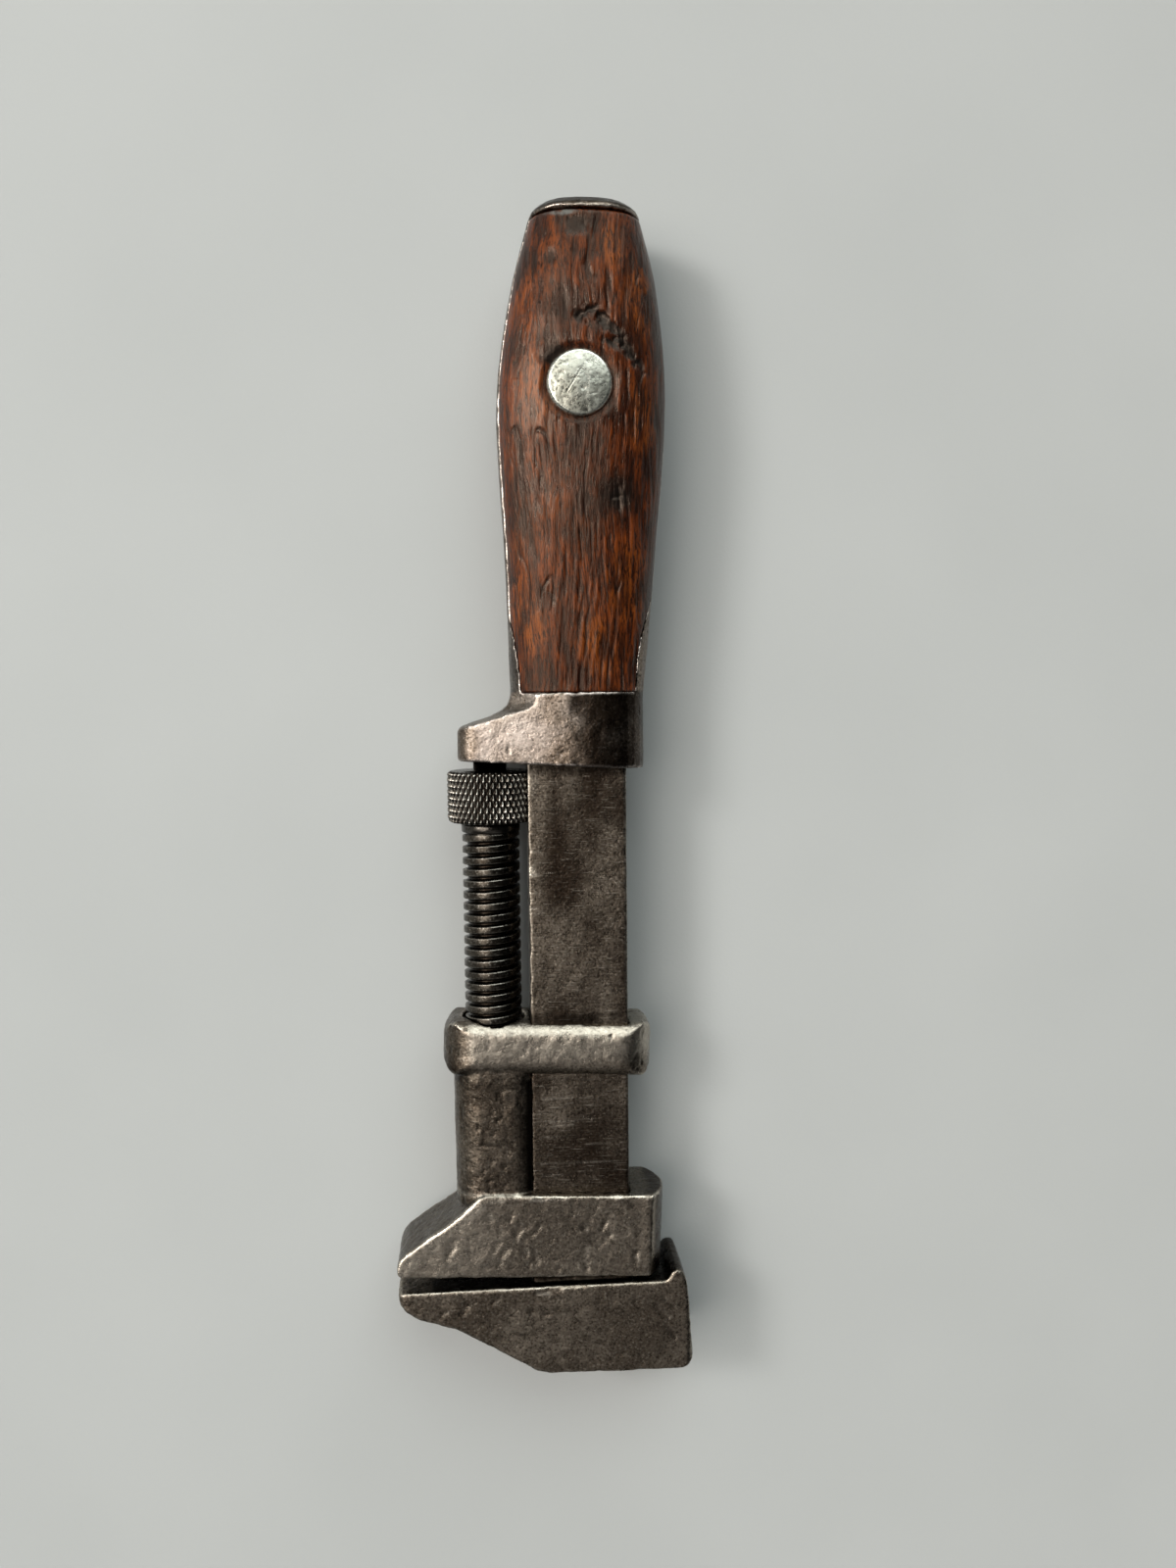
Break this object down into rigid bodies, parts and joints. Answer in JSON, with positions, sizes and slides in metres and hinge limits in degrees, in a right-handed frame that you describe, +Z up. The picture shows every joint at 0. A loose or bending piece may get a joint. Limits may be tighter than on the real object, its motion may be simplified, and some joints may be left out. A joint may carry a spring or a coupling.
{
  "type": "adjustable wrench",
  "caption": "Screw-adjusted wrench: a knurled rosette beside the flat bar drives the sliding jaw; the handle is a steel frame faced with riveted wood.",
  "frame": {"origin": "below the centre of the wrench's outline, on the surface it lies on", "axes": "+Y along the bar towards the butt, +X away from the jaw tips, +Z up through the flat of the wrench"},
  "size_m": [0.0522, 0.202, 0.0218],
  "materials": {
    "forged_steel": "worn dark forged steel",
    "oiled_steel": "dark oily turned steel",
    "handle_steel": "brown patina, worn bright at the edges",
    "handle_wood": "old red-brown varnish, dented and cracked",
    "rivet_steel": "bright worn"
  },
  "bodies": {
    "frame": {"bar_and_fixed_jaw": "forged_steel", "handle_frame": "handle_steel", "front_scale": "handle_wood", "back_scale": "handle_wood", "handle_rivet": "rivet_steel", "journal_pin": "oiled_steel"},
    "jaw": {"sliding_jaw": "forged_steel"},
    "screw": {"adjusting_screw": "oiled_steel"}
  },
  "joints": [
    {"name": "jaw_slide", "type": "slide", "parent": "frame", "child": "jaw", "axis": [0, 1, 0], "range_m": [-0.0008, 0.032]},
    {"name": "screw_spin", "type": "hinge", "parent": "frame", "child": "screw", "pos_m": [-0.0085, 0.00615, 0.0109], "axis": [0, 1, 0], "range_deg": [-181, 5761]}
  ],
  "couplings": [
    {"joint": "screw_spin", "follows": "jaw_slide", "rad_per_m": 3141.6}
  ]
}
